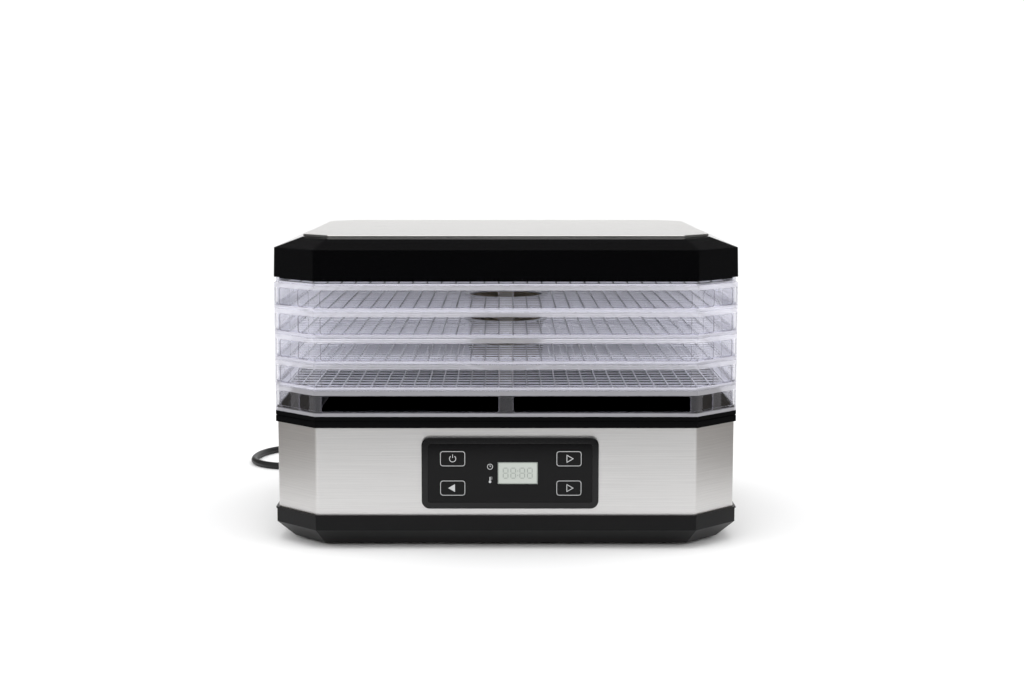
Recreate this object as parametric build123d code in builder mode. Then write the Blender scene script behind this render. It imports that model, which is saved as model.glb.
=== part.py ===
from build123d import *
from math import cos, pi, radians, sin, sqrt, tan
import os

# A food dehydrator: a heated fan base with a steel band and a control panel, five clear
# trays that stack on it, and a lid. Millimetres, +Z up, front towards -Y, origin on the
# floor under the fan's axis.

# ---------------------------------------------------------------- driving dimensions
# Plan outline shared by base, trays and lid: an oblong with its corners cut at 45 degrees
width = 340.0
depth = 280.0
corner_leg = 32.0

# Clearances
stack_gap = 0.3          # between pieces that lift apart
nest_gap = 0.4           # around a lip inside a skirt
key_gap = 0.35           # around a key in its window
running_gap = 0.05       # radial, shaft in its bearing
screw_gap = 0.1          # radial, screw in its hole

# Plinth (bottom cover)
foot_proud = 2.0
slope_height = 12.0
slope_inset = 13.0
side_height = 10.0
lip_height = 1.2
lip_proud = 0.7
cover_wall = 2.5
cover_upstand = 8.0
post_inset_x = 52.0      # corner screw posts, from the sides
post_inset_y = 36.0      # corner screw posts, from front and back
middle_post_x = 20.0
middle_post_inset = 22.0
post_radius = 5.5
post_height = 12.0
foot_inset_x = 32.0
foot_inset_y = 50.0
foot_length = 34.0
foot_width = 16.0
inlet_slot = (60.0, 4.0)
inlet_pitch = 8.0
inlet_slots = 9

# Steel band
band_height = 64.0
band_inset = 1.4
band_sheet = 0.8

# Deck (upper cover of the base)
ring_height = 8.0
ring_groove = 0.8
deck_sink = 12.5
deck_plate = 2.0
deck_wall = 2.5
deck_wall_inset = 7.0
outlet_radius = 32.0
outlet_wall = 2.0
outlet_gap = 0.5         # outlet's top edge to the lowest collar
deck_skirt_drop = 7.0

# Trays
tray_count = 5
skirt_height = 18.7
skirt_wall = 2.4
nest_wall = 1.1          # skirt wall where it passes over the lip below
tray_lip_height = 3.7
tray_lip_wall = 2.0
mesh_thickness = 1.0
mesh_border = 4.5
bar_width = 1.0
cell_pitch_x = 10.35
cell_pitch_y = 13.6
collar_top_radius = 30.5
collar_end_radius = 28.5
collar_wall = 1.8
collar_drop = 9.5
collar_rim = 2.5         # solid ring of mesh around the collar
pane_recess = 0.8
pane_draft = 35.0
pane_round = 2.2
band_over_pane = 3.4
band_under_pane = 2.4
post_width = 9.6
corner_post = 4.6
facet_post = 9.0
facet_pane = 12.6

# Lid
lid_gap = 4.0            # shoulder of the top tray to the lid's lower edge
lid_face = 21.5
lid_draft = 0.5
lid_bevel_height = 7.4
lid_bevel_inset = 20.5
lid_wall = 2.4
lid_recess = 2.2
lid_rib_height = 1.4
panel_thickness = 1.2
panel_overlap = 0.6
panel_rise = 0.8         # panel's underside above the bevel's top edge
panel_post_radius = 4.0
vent_length = 26.0
vent_width = 3.0

# Control panel
panel_x = 3.0
panel_drop = 0.7         # panel's middle below the band's middle
bezel_width = 128.0
bezel_height = 52.3
bezel_round = 6.0
bezel_depth = 3.2
bezel_border = 3.0
bezel_box_wall = 1.6
bezel_box_depth = 12.0
overlay_thickness = 1.0
overlay_sunk = 0.4
key_width = 18.3
key_height = 11.2
key_round = 2.0
key_thickness = 0.9
key_travel = 0.4
key_offsets = {"key_power": (-41.5, 10.6), "key_down": (-41.5, -10.9),
               "key_up": (42.5, 10.6), "key_timer": (42.5, -10.9)}
display_offset_x = 5.5
display_width = 29.0
display_height = 16.2
display_module_thickness = 3.0
board_thickness = 1.6
switch_side = 6.0
switch_height = 3.6

# Fan and heater
duct_radius = 46.5
duct_wall = 1.8
motor_radius = 20.0
motor_height = 22.0
motor_foot = 11.0        # underside of the motor above the floor
shaft_radius = 2.0
shaft_depth = 10.0
impeller_radius = 43.5
impeller_height = 12.0
hub_radius = 9.0
blade_count = 7
blade_thickness = 1.6
blade_angle = 32.0
heater_height = 8.0
heater_sheet = 1.0
coil_radii = (14.0, 25.0, 36.0)
coil_wire = 3.0

# Screws
screw_radius = 1.7
screw_head_radius = 3.2
screw_head_height = 2.0
screw_length = 16.0

# Power cord
cord_diameter = 6.0
cord_exit_x = -66.0
cord_exit_z = 42.0
relief_length = 30.0
relief_radius = 6.5
relief_end_radius = 4.2
relief_flange = 2.0
block_setback = 48.0     # terminal block's middle, from the back
block_size = (30.0, 18.0)
block_height = 14.0
coil_mean_radius = 33.0
coil_section = 12.0

# ---------------------------------------------------------------- levels
cover_underside = foot_proud
slope_top = cover_underside + slope_height
side_top = slope_top + side_height
band_bottom = side_top + lip_height
band_top = band_bottom + band_height
ring_top = band_top + ring_height
deck_top = ring_top - deck_sink
deck_underside = deck_top - deck_plate
panel_z = band_bottom + band_height / 2 - panel_drop
floor_top = cover_underside + cover_wall
tray_pitch = skirt_height + stack_gap
tray_bottoms = [ring_top + stack_gap + level * tray_pitch for level in range(tray_count)]
top_shoulder = tray_bottoms[-1] + skirt_height
outlet_height = tray_bottoms[0] + skirt_height - collar_drop - outlet_gap - deck_top
lid_bottom = top_shoulder + lid_gap
lid_face_top = lid_bottom + lid_face
lid_bevel_top = lid_face_top + lid_bevel_height
lip_inset = nest_wall + nest_gap
mesh_inset = lip_inset + tray_lip_wall
front_y = -depth / 2 + band_inset
back_y = depth / 2 - band_inset

os.makedirs("parts", exist_ok=True)


# ---------------------------------------------------------------- helpers
def octagon(inset=0.0):
    """Plan outline drawn parallel to the outer faces, a given distance inside them."""
    with BuildSketch(mode=Mode.PRIVATE) as outline:
        Rectangle(width - 2 * inset, depth - 2 * inset)
        chamfer(outline.vertices(), corner_leg - inset * (2 - sqrt(2)))
    return outline.sketch


def save(part, name):
    """Label a finished piece and write it under its own name."""
    part.label = name
    export_step(part, f"parts/{name}.step")


def spots(points, z=0.0):
    """Locations at the given plan points."""
    return Locations(*[(x, y, z) for x, y in points])


def screws(points, seat, length, upward=True):
    """Pan-head screws with a cross recess, their heads seated at one level."""
    way = 1 if upward else -1
    recess_length = 3.2
    recess_width = 0.7
    recess_depth = 0.9
    with BuildPart() as group:
        with BuildSketch(Plane.XY.offset(seat)):
            with spots(points):
                Circle(screw_head_radius)
        extrude(amount=-way * screw_head_height)
        with BuildSketch(Plane.XY.offset(seat)):
            with spots(points):
                Circle(screw_radius)
        extrude(amount=way * length)
        with BuildSketch(Plane.XY.offset(seat - way * screw_head_height)):
            with spots(points):
                Rectangle(recess_length, recess_width)
                Rectangle(recess_width, recess_length)
        extrude(amount=way * recess_depth, mode=Mode.SUBTRACT)
    return group.part


def around(radius, count, start=0.0):
    """Plan points evenly spaced on a circle about the fan's axis."""
    turns = [radians(start + 360.0 * n / count) for n in range(count)]
    return [(radius * cos(turn), radius * sin(turn)) for turn in turns]


# ---------------------------------------------------------------- bottom cover
# Moulded plinth: a short upright side with a sharp lip over a 45 degree undercut
base_post_points = [(sx * (width / 2 - post_inset_x), sy * (depth / 2 - post_inset_y))
                    for sx in (-1, 1) for sy in (-1, 1)]
base_post_points += [(sx * middle_post_x, sy * (depth / 2 - middle_post_inset))
                     for sx in (-1, 1) for sy in (-1, 1)]
post_top = floor_top + post_height
screw_seat = post_top - 4.0
motor_foot_points = around(38.0, 3, 90.0)
motor_boss_radius = 4.0
bracket_thickness = 2.0
bracket_underside = motor_foot - bracket_thickness
board_centre = ((duct_radius + duct_wall + width / 2 - 2 * cover_wall) / 2, depth / 2 - 115.0)
board_size = (70.0, 110.0)
board_hole_inset = 6.0
board_points = [(board_centre[0] + sx * (board_size[0] / 2 - board_hole_inset),
                 board_centre[1] + sy * (board_size[1] / 2 - board_hole_inset))
                for sx in (-1, 1) for sy in (-1, 1)]
board_boss_radius = 3.5
board_underside = floor_top + 8.0
block_centre = (cord_exit_x, depth / 2 - block_setback)
panel_plane = Plane(origin=(panel_x, front_y, panel_z), x_dir=(1, 0, 0), z_dir=(0, -1, 0))
panel_hole_width = bezel_width - 2 * bezel_border
panel_hole_height = bezel_height - 2 * bezel_border

with BuildPart() as bottom_cover:
    with BuildSketch(Plane.XY.offset(cover_underside)):
        add(octagon(slope_inset))
    with BuildSketch(Plane.XY.offset(slope_top)):
        add(octagon())
    loft()
    with BuildSketch(Plane.XY.offset(slope_top)):
        add(octagon())
    extrude(amount=side_height)
    with BuildSketch(Plane.XY.offset(side_top)):
        add(octagon(-lip_proud))
    extrude(amount=lip_height)
    with BuildSketch(Plane.XY.offset(floor_top)):
        add(octagon(slope_inset + cover_wall))
    with BuildSketch(Plane.XY.offset(slope_top)):
        add(octagon(2 * cover_wall))
    loft(mode=Mode.SUBTRACT)
    with BuildSketch(Plane.XY.offset(slope_top)):
        add(octagon(2 * cover_wall))
    extrude(until=Until.LAST, mode=Mode.SUBTRACT)
    with BuildSketch(Plane.XY.offset(slope_top)):
        add(octagon(band_inset + band_sheet + screw_gap))
        add(octagon(2 * cover_wall), mode=Mode.SUBTRACT)
    extrude(amount=side_height + lip_height + cover_upstand)
    with BuildSketch(Plane.XY.offset(floor_top)):
        with spots(base_post_points):
            Circle(post_radius)
    extrude(amount=post_height)
    with BuildSketch(Plane.XY.offset(floor_top)):
        with spots(motor_foot_points):
            Circle(motor_boss_radius)
    extrude(amount=bracket_underside - floor_top)
    with BuildSketch(Plane.XY.offset(floor_top)):
        with spots(board_points):
            Circle(board_boss_radius)
    extrude(amount=board_underside - floor_top)
    with BuildSketch(Plane.XY.offset(cover_underside)):
        with spots(base_post_points):
            Circle(screw_head_radius + 2 * screw_gap)
    extrude(amount=screw_seat - cover_underside, mode=Mode.SUBTRACT)
    with BuildSketch(Plane.XY.offset(cover_underside)):
        with spots(base_post_points):
            Circle(screw_radius + screw_gap)
    extrude(amount=post_top - cover_underside, mode=Mode.SUBTRACT)
    with BuildSketch(Plane.XY.offset(floor_top)):
        with spots(motor_foot_points + board_points):
            Circle(screw_radius + screw_gap)
    extrude(amount=board_underside - floor_top, mode=Mode.SUBTRACT)
    with BuildSketch(Plane.XY.offset(cover_underside)):
        with GridLocations(inlet_pitch, 1.0, inlet_slots, 1):
            SlotOverall(*inlet_slot, rotation=90)
    extrude(amount=cover_wall, mode=Mode.SUBTRACT)
    with BuildSketch(panel_plane):
        Rectangle(panel_hole_width, panel_hole_height)
    extrude(amount=-2 * cover_wall - band_inset, mode=Mode.SUBTRACT)
save(bottom_cover.part, "bottom_cover")

# ---------------------------------------------------------------- feet
foot_points = [(sx * (width / 2 - foot_inset_x), sy * (depth / 2 - foot_inset_y))
               for sx in (-1, 1) for sy in (-1, 1)]
with BuildPart() as rubber_feet:
    with BuildSketch(Plane.XY):
        with spots(foot_points):
            SlotOverall(foot_length, foot_width, rotation=90)
    extrude(amount=foot_proud)
save(rubber_feet.part, "rubber_feet")

# ---------------------------------------------------------------- steel band
cord_plane = Plane(origin=(cord_exit_x, back_y, cord_exit_z), x_dir=(-1, 0, 0), z_dir=(0, 1, 0))
band_round = 4.0
with BuildPart() as steel_band:
    with BuildSketch(Plane.XY.offset(band_bottom)):
        with BuildSketch(mode=Mode.PRIVATE) as band_outer:
            add(octagon(band_inset))
            fillet(band_outer.vertices(), band_round)
        with BuildSketch(mode=Mode.PRIVATE) as band_inner:
            add(octagon(band_inset + band_sheet))
            fillet(band_inner.vertices(), band_round - band_sheet)
        add(band_outer.sketch)
        add(band_inner.sketch, mode=Mode.SUBTRACT)
    extrude(amount=band_height)
    with BuildSketch(panel_plane):
        RectangleRounded(panel_hole_width, panel_hole_height, bezel_round - bezel_border)
    extrude(amount=-2 * band_sheet, mode=Mode.SUBTRACT)
    with BuildSketch(cord_plane):
        Circle(relief_radius + screw_gap)
    extrude(amount=-2 * band_sheet, mode=Mode.SUBTRACT)
save(steel_band.part, "steel_band")

# ---------------------------------------------------------------- deck
# Upper cover: a rim ring, a sunken plate with the warm air outlet, and screw pillars
groove_z = ring_top - 3.6
with BuildPart() as deck:
    with BuildSketch(Plane.XY.offset(band_top)):
        add(octagon())
        add(octagon(deck_wall_inset + deck_wall), mode=Mode.SUBTRACT)
    extrude(amount=ring_height)
    with BuildSketch(Plane.XY.offset(groove_z)):
        add(octagon())
        add(octagon(ring_groove), mode=Mode.SUBTRACT)
    extrude(amount=ring_groove, mode=Mode.SUBTRACT)
    with BuildSketch(Plane.XY.offset(band_top)):
        add(octagon(band_inset + band_sheet + 2 * screw_gap))
        add(octagon(2 * cover_wall), mode=Mode.SUBTRACT)
    extrude(amount=-deck_skirt_drop)
    with BuildSketch(panel_plane):
        Rectangle(panel_hole_width, panel_hole_height)
    extrude(amount=-2 * cover_wall - band_inset, mode=Mode.SUBTRACT)
    with BuildSketch(Plane.XY.offset(ring_top)):
        add(octagon(lip_inset))
        add(octagon(mesh_inset), mode=Mode.SUBTRACT)
    extrude(amount=tray_lip_height)
    with BuildSketch(Plane.XY.offset(deck_underside)):
        add(octagon(deck_wall_inset))
        add(octagon(deck_wall_inset + deck_wall), mode=Mode.SUBTRACT)
    extrude(amount=band_top - deck_underside)
    with BuildSketch(Plane.XY.offset(deck_underside)):
        add(octagon(deck_wall_inset))
    extrude(amount=deck_plate)
    with BuildSketch(Plane.XY.offset(deck_underside)):
        Circle(outlet_radius)
    extrude(amount=deck_plate + outlet_height)
    with BuildSketch(Plane.XY.offset(deck_underside)):
        Circle(outlet_radius - outlet_wall)
    extrude(amount=deck_plate + outlet_height, mode=Mode.SUBTRACT)
    with BuildSketch(Plane.XY.offset(deck_underside)):
        with spots(base_post_points):
            Circle(post_radius)
    extrude(amount=post_top + screw_gap - deck_underside)
    with BuildSketch(Plane.XY.offset(post_top)):
        with spots(base_post_points):
            Circle(screw_radius + screw_gap)
    extrude(amount=screw_length + 2.0, mode=Mode.SUBTRACT)
save(deck.part, "deck")

# ---------------------------------------------------------------- outlet guard
guard_ring = 2.0
guard_bar = 1.2
guard_depth = 2.0
guard_top = deck_top + outlet_height
guard_radius = outlet_radius - outlet_wall - screw_gap
with BuildPart() as outlet_guard:
    with BuildSketch(Plane.XY.offset(guard_top)):
        Circle(guard_radius)
        Circle(guard_radius - guard_ring, mode=Mode.SUBTRACT)
        for ring_radius in (21.0, 14.0):
            with BuildSketch(mode=Mode.PRIVATE) as guard_hoop:
                Circle(ring_radius)
                Circle(ring_radius - guard_bar, mode=Mode.SUBTRACT)
            add(guard_hoop.sketch)
        Circle(7.0)
        with PolarLocations(0, 8):
            with Locations((guard_radius / 2, 0)):
                Rectangle(guard_radius - guard_ring, guard_bar)
    extrude(amount=-guard_depth)
save(outlet_guard.part, "outlet_guard")

# ---------------------------------------------------------------- base screws
save(screws(base_post_points, screw_seat, screw_length), "base_screws")

# ---------------------------------------------------------------- air duct
duct_bottom = floor_top + 6.0
duct_cone_bottom = deck_underside - 12.0
with BuildPart() as air_duct:
    with BuildSketch(Plane.XZ):
        with BuildLine():
            Polyline((duct_radius, duct_bottom),
                     (duct_radius + duct_wall, duct_bottom),
                     (duct_radius + duct_wall, duct_cone_bottom),
                     (outlet_radius + duct_wall, deck_underside),
                     (outlet_radius, deck_underside),
                     (duct_radius, duct_cone_bottom - 1.0),
                     close=True)
        make_face()
    revolve(axis=Axis.Z)
    with BuildSketch(Plane.XY.offset(duct_bottom)):
        with PolarLocations(duct_radius + duct_wall / 2, 3, 90.0):
            Rectangle(3 * duct_wall, 14.0)
    extrude(amount=4.0, mode=Mode.SUBTRACT)
save(air_duct.part, "air_duct")

# ---------------------------------------------------------------- motor and its bracket
bracket_arm = (45.0, 8.0)
bracket_arm_middle = 20.5
motor_screw_points = around(13.0, 3, 30.0)
motor_screw_depth = 7.0
bearing_radius = 5.0
bearing_height = 1.5
with BuildPart() as motor_bracket:
    with BuildSketch(Plane.XY.offset(bracket_underside)):
        Circle(motor_radius + 2.0)
        with PolarLocations(0, 3, 90.0):
            with Locations((bracket_arm_middle, 0)):
                SlotOverall(*bracket_arm)
        with spots(motor_foot_points):
            Circle(screw_radius + screw_gap, mode=Mode.SUBTRACT)
        with spots(motor_screw_points):
            Circle(screw_radius + screw_gap, mode=Mode.SUBTRACT)
    extrude(amount=bracket_thickness)
save(motor_bracket.part, "motor_bracket")

motor_top = motor_foot + motor_height
with BuildPart() as fan_motor:
    with BuildSketch(Plane.XY.offset(motor_foot)):
        Circle(motor_radius)
    extrude(amount=motor_height)
    fillet(fan_motor.edges().group_by(Axis.Z)[-1], 2.0)
    with BuildSketch(Plane.XY.offset(motor_top)):
        Circle(bearing_radius)
    extrude(amount=bearing_height)
    with BuildSketch(Plane.XY.offset(motor_top + bearing_height)):
        Circle(shaft_radius + running_gap)
    extrude(amount=-shaft_depth, mode=Mode.SUBTRACT)
    with BuildSketch(Plane.XY.offset(motor_foot)):
        with spots(motor_screw_points):
            Circle(screw_radius + screw_gap)
    extrude(amount=motor_screw_depth, mode=Mode.SUBTRACT)
save(fan_motor.part, "fan_motor")

save(screws(motor_screw_points, bracket_underside, 8.0), "motor_screws")
save(screws(motor_foot_points, motor_foot, 6.0, upward=False), "bracket_screws")

# ---------------------------------------------------------------- impeller and shaft
impeller_bottom = motor_top + bearing_height + 3.0
impeller_top = impeller_bottom + impeller_height
hub_cap = 2.0
shaft_bottom = motor_top + bearing_height - shaft_depth + 0.5
with BuildPart() as motor_shaft:
    with BuildSketch(Plane.XY.offset(shaft_bottom)):
        Circle(shaft_radius)
    extrude(amount=impeller_top - hub_cap - shaft_bottom)
save(motor_shaft.part, "motor_shaft")

blade_root = hub_radius - 1.0
blade_reach = impeller_radius - hub_radius
blade_rise = (impeller_height - 1.0) / 2
blade_run = blade_rise / tan(radians(blade_angle))
with BuildPart() as impeller:
    with BuildSketch(Plane.XY.offset(impeller_bottom)):
        Circle(hub_radius)
    extrude(amount=impeller_height)
    with BuildSketch(Plane.XY.offset(impeller_bottom)):
        Circle(shaft_radius)
    extrude(amount=impeller_height - hub_cap, mode=Mode.SUBTRACT)
    for blade in range(blade_count):
        turn = 360.0 / blade_count * blade
        root = Plane(origin=(cos(radians(turn)) * blade_root,
                             sin(radians(turn)) * blade_root,
                             impeller_bottom + impeller_height / 2),
                     x_dir=(-sin(radians(turn)), cos(radians(turn)), 0),
                     z_dir=(cos(radians(turn)), sin(radians(turn)), 0))
        with BuildSketch(root):
            with BuildLine():
                Polyline((-blade_run, -blade_rise),
                         (-blade_run + blade_thickness, -blade_rise),
                         (blade_run, blade_rise - blade_thickness / 2),
                         (blade_run, blade_rise),
                         (blade_run - blade_thickness, blade_rise),
                         (-blade_run, -blade_rise + blade_thickness / 2),
                         close=True)
            make_face()
        extrude(amount=blade_reach)
save(impeller.part, "impeller")

# ---------------------------------------------------------------- heater
heater_bottom = impeller_top + 4.0
heater_top = heater_bottom + heater_height
with BuildPart() as heater_frame:
    with BuildSketch(Plane.XY.offset(heater_bottom)):
        Rectangle(2 * duct_radius, heater_sheet)
        Rectangle(heater_sheet, 2 * duct_radius)
    extrude(amount=heater_height)
    with BuildSketch(Plane.XZ):
        with Locations(*[(radius, heater_top) for radius in coil_radii]):
            Circle(coil_wire / 2)
    revolve(axis=Axis.Z, mode=Mode.SUBTRACT)
save(heater_frame.part, "heater_frame")

with BuildPart() as heater_coil:
    with BuildSketch(Plane.XZ):
        with Locations(*[(radius, heater_top) for radius in coil_radii]):
            Circle(coil_wire / 2)
    revolve(axis=Axis.Z)
save(heater_coil.part, "heater_coil")

thermostat_flange = 3.0
thermostat_cap = 3.0
with BuildPart() as thermostat:
    with BuildSketch(Plane.XY.offset(heater_top)):
        Circle(8.0)
    extrude(amount=thermostat_flange)
    with BuildSketch(Plane.XY.offset(heater_top + thermostat_flange)):
        Circle(6.0)
    extrude(amount=thermostat_cap)
save(thermostat.part, "thermostat")

fuse_radius = 1.8
with BuildPart() as thermal_fuse:
    with BuildSketch(Plane(origin=(coil_radii[1] + 2.2, 0, heater_top + fuse_radius),
                           x_dir=(0, 1, 0), z_dir=(1, 0, 0))):
        Circle(fuse_radius)
    extrude(amount=coil_radii[2] - coil_radii[1] - 4.4)
save(thermal_fuse.part, "thermal_fuse")

sensor_radius = 2.0
with BuildPart() as temperature_sensor:
    with BuildSketch(Plane.XY.offset(deck_top)):
        with Locations((0, outlet_radius - outlet_wall - sensor_radius - screw_gap)):
            Circle(sensor_radius)
    extrude(amount=outlet_height - guard_depth)
    fillet(temperature_sensor.edges().group_by(Axis.Z)[0], 1.2)
save(temperature_sensor.part, "temperature_sensor")

# ---------------------------------------------------------------- power board
with BuildPart() as power_board:
    with BuildSketch(Plane.XY.offset(board_underside)):
        with Locations(board_centre):
            RectangleRounded(board_size[0], board_size[1], 2.0)
        with spots(board_points):
            Circle(screw_radius + screw_gap, mode=Mode.SUBTRACT)
    extrude(amount=board_thickness)
save(power_board.part, "power_board")

board_top = board_underside + board_thickness
save(screws(board_points, board_top, 7.0, upward=False), "board_screws")


def board_block(centre, size, height, rounding):
    """A moulded component that stands on the power board."""
    with BuildPart() as block:
        with BuildSketch(Plane.XY.offset(board_top)):
            with Locations(centre):
                Rectangle(*size)
        extrude(amount=height)
        fillet(block.edges().group_by(Axis.Z)[-1], rounding)
    return block.part


board_x, board_y = board_centre
save(board_block((board_x, board_y + 25.0), (30.0, 26.0), 24.0, 2.0), "transformer")
save(board_block((board_x - 14.0, board_y - 7.0), (19.0, 15.0), 15.0, 0.8), "heater_relay")
capacitor_radius = 6.5
capacitor_height = 20.0
with BuildPart() as capacitor:
    with BuildSketch(Plane.XY.offset(board_top)):
        with Locations((board_x + 14.0, board_y - 10.0)):
            Circle(capacitor_radius)
    extrude(amount=capacitor_height)
    fillet(capacitor.edges().group_by(Axis.Z)[-1], 1.0)
save(capacitor.part, "capacitor")

# ---------------------------------------------------------------- terminal block
with BuildPart() as terminal_block:
    with BuildSketch(Plane.XY.offset(floor_top)):
        with Locations(block_centre):
            Rectangle(*block_size)
    extrude(amount=block_height)
    with BuildSketch(Plane.XY.offset(floor_top + block_height)):
        with Locations(block_centre):
            with GridLocations(9.0, 1.0, 3, 1):
                Circle(2.4)
    extrude(amount=-8.0, mode=Mode.SUBTRACT)
save(terminal_block.part, "terminal_block")

# ---------------------------------------------------------------- control panel
# A raised frame clips through the steel band; a glossy overlay fills it, with windows
# for the display and the four keys. Board and switches stand behind.
box_width = panel_hole_width - 2 * screw_gap
box_height = panel_hole_height - 2 * screw_gap
box_round = bezel_round - bezel_border
overlay_width = box_width - 2 * bezel_box_wall
overlay_height = box_height - 2 * bezel_box_wall
overlay_back = bezel_depth - overlay_sunk - overlay_thickness
ledge_width = 1.4
display_spot = (display_offset_x, 0.0)
with BuildPart() as control_bezel:
    with BuildSketch(panel_plane):
        RectangleRounded(bezel_width, bezel_height, bezel_round)
    extrude(amount=bezel_depth)
    fillet(control_bezel.faces().sort_by(Axis.Y)[0].edges(), 0.8)
    with BuildSketch(panel_plane):
        RectangleRounded(box_width, box_height, box_round)
    extrude(amount=-bezel_box_depth)
    with BuildSketch(panel_plane.offset(bezel_depth)):
        RectangleRounded(overlay_width, overlay_height, 2.0)
    extrude(amount=-overlay_sunk - overlay_thickness, mode=Mode.SUBTRACT)
    with BuildSketch(panel_plane.offset(overlay_back)):
        RectangleRounded(overlay_width - 2 * ledge_width, overlay_height - 2 * ledge_width, 1.2)
    extrude(amount=-overlay_back - bezel_box_depth, mode=Mode.SUBTRACT)
save(control_bezel.part, "control_bezel")

with BuildPart() as control_overlay:
    with BuildSketch(panel_plane.offset(overlay_back)):
        RectangleRounded(overlay_width - 2 * screw_gap, overlay_height - 2 * screw_gap, 1.9)
        with Locations(*key_offsets.values()):
            RectangleRounded(key_width + 2 * key_gap, key_height + 2 * key_gap,
                             key_round + key_gap, mode=Mode.SUBTRACT)
        with Locations(display_spot):
            Rectangle(display_width, display_height, mode=Mode.SUBTRACT)
    extrude(amount=overlay_thickness)
save(control_overlay.part, "control_overlay")

with BuildPart() as display_window:
    with BuildSketch(panel_plane.offset(overlay_back)):
        with Locations(display_spot):
            Rectangle(display_width - 2 * screw_gap, display_height - 2 * screw_gap)
    extrude(amount=overlay_thickness - 0.4)
save(display_window.part, "display_window")

with BuildPart() as display_module:
    with BuildSketch(panel_plane.offset(overlay_back)):
        with Locations(display_spot):
            Rectangle(display_width + 6.0, display_height + 8.0)
    extrude(amount=-display_module_thickness)
save(display_module.part, "display_module")

# The key's plunger ends short of its switch by the travel and a little more
switch_top_depth = -overlay_back + 2.6
switch_play = 0.1
plunger_length = overlay_back + switch_top_depth - key_travel - switch_play
board_front_depth = switch_top_depth + switch_height
with BuildPart() as control_board:
    with BuildSketch(panel_plane.offset(-board_front_depth)):
        RectangleRounded(overlay_width - 2 * ledge_width - 1.0,
                         overlay_height - 2 * ledge_width - 1.0, 1.0)
    extrude(amount=-board_thickness)
save(control_board.part, "control_board")

with BuildPart() as key_switches:
    with BuildSketch(panel_plane.offset(-board_front_depth)):
        with Locations(*key_offsets.values()):
            Rectangle(switch_side, switch_side)
    extrude(amount=switch_height - 0.8)
    with BuildSketch(panel_plane.offset(-board_front_depth)):
        with Locations(*key_offsets.values()):
            Circle(1.7)
    extrude(amount=switch_height)
save(key_switches.part, "key_switches")

for name, offset in key_offsets.items():
    with BuildPart() as key:
        with BuildSketch(panel_plane.offset(overlay_back + overlay_thickness)):
            with Locations(offset):
                RectangleRounded(key_width, key_height, key_round)
        extrude(amount=-key_thickness)
        with BuildSketch(panel_plane.offset(overlay_back + overlay_thickness - key_thickness)):
            with Locations(offset):
                Circle(1.6)
        extrude(amount=-plunger_length)
    save(key.part, name)

# ---------------------------------------------------------------- trays
# Every tray is the same clear moulding: a skirt with thinned panes, a lip that the next
# skirt passes over, a food mesh level with the shoulder, and a hanging air collar
nest_depth = tray_lip_height - stack_gap + nest_gap
pane_bottom = band_under_pane
pane_top = skirt_height - band_over_pane
pane_height = pane_top - pane_bottom
pane_z = (pane_top + pane_bottom) / 2


def pane_plane(distance, angle):
    """Plane on an outer face, facing outwards, at the panes' mid height."""
    out = (cos(radians(angle)), sin(radians(angle)), 0)
    along = (-sin(radians(angle)), cos(radians(angle)), 0)
    origin = (out[0] * distance, out[1] * distance, pane_z)
    return Plane(origin=origin, x_dir=along, z_dir=out)


front_half = width / 2 - corner_leg
side_half = depth / 2 - corner_leg
facet_distance = (width / 2 + depth / 2 - corner_leg) / sqrt(2)
facet_shift = (width - depth) / 2 / sqrt(2)
faces = [(depth / 2, -90.0, front_half), (depth / 2, 90.0, front_half),
         (width / 2, 0.0, side_half), (width / 2, 180.0, side_half)]
facets = [(45.0, -facet_shift), (135.0, facet_shift),
          (225.0, -facet_shift), (315.0, facet_shift)]

with BuildPart() as tray_frame:
    with BuildSketch():
        add(octagon())
        add(octagon(skirt_wall), mode=Mode.SUBTRACT)
    extrude(amount=skirt_height)
    with BuildSketch():
        add(octagon(nest_wall))
        add(octagon(skirt_wall), mode=Mode.SUBTRACT)
    extrude(amount=nest_depth, mode=Mode.SUBTRACT)
    with BuildSketch(Plane.XY.offset(skirt_height - mesh_thickness)):
        add(octagon(lip_inset))
        add(octagon(mesh_inset), mode=Mode.SUBTRACT)
    extrude(amount=mesh_thickness + tray_lip_height)
    for distance, angle, half in faces:
        pane_length = half - corner_post - post_width / 2
        pane_middle = post_width / 2 + pane_length / 2
        with BuildSketch(pane_plane(distance, angle)):
            with Locations((-pane_middle, 0), (pane_middle, 0)):
                RectangleRounded(pane_length, pane_height, pane_round)
        extrude(amount=-pane_recess, taper=pane_draft, mode=Mode.SUBTRACT)
    for angle, shift in facets:
        pane_middle = (facet_post + facet_pane) / 2
        with BuildSketch(pane_plane(facet_distance, angle)):
            with Locations((shift - pane_middle, 0), (shift + pane_middle, 0)):
                RectangleRounded(facet_pane, pane_height, pane_round)
        extrude(amount=-pane_recess, taper=pane_draft, mode=Mode.SUBTRACT)

mesh_edge = mesh_inset + mesh_border
bars_across = 2 * int((width / 2 - mesh_edge) / cell_pitch_x + 0.5)
bars_deep = 2 * int((depth / 2 - mesh_edge) / cell_pitch_y + 0.5)
with BuildPart() as tray_mesh:
    with BuildSketch(Plane.XY.offset(skirt_height)):
        with GridLocations(cell_pitch_x, 1, bars_across, 1):
            Rectangle(bar_width, depth - 2 * mesh_inset - mesh_border)
        with GridLocations(1, cell_pitch_y, 1, bars_deep):
            Rectangle(width - 2 * mesh_inset - mesh_border, bar_width)
        add(octagon(mesh_inset + mesh_border / 2), mode=Mode.INTERSECT)
        with BuildSketch(mode=Mode.PRIVATE) as border:
            add(octagon(mesh_inset))
            add(octagon(mesh_edge), mode=Mode.SUBTRACT)
        add(border.sketch)
        Circle(collar_top_radius + collar_rim)
        Circle(collar_top_radius - collar_wall, mode=Mode.SUBTRACT)
    extrude(amount=mesh_thickness, clean=False)

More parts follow.
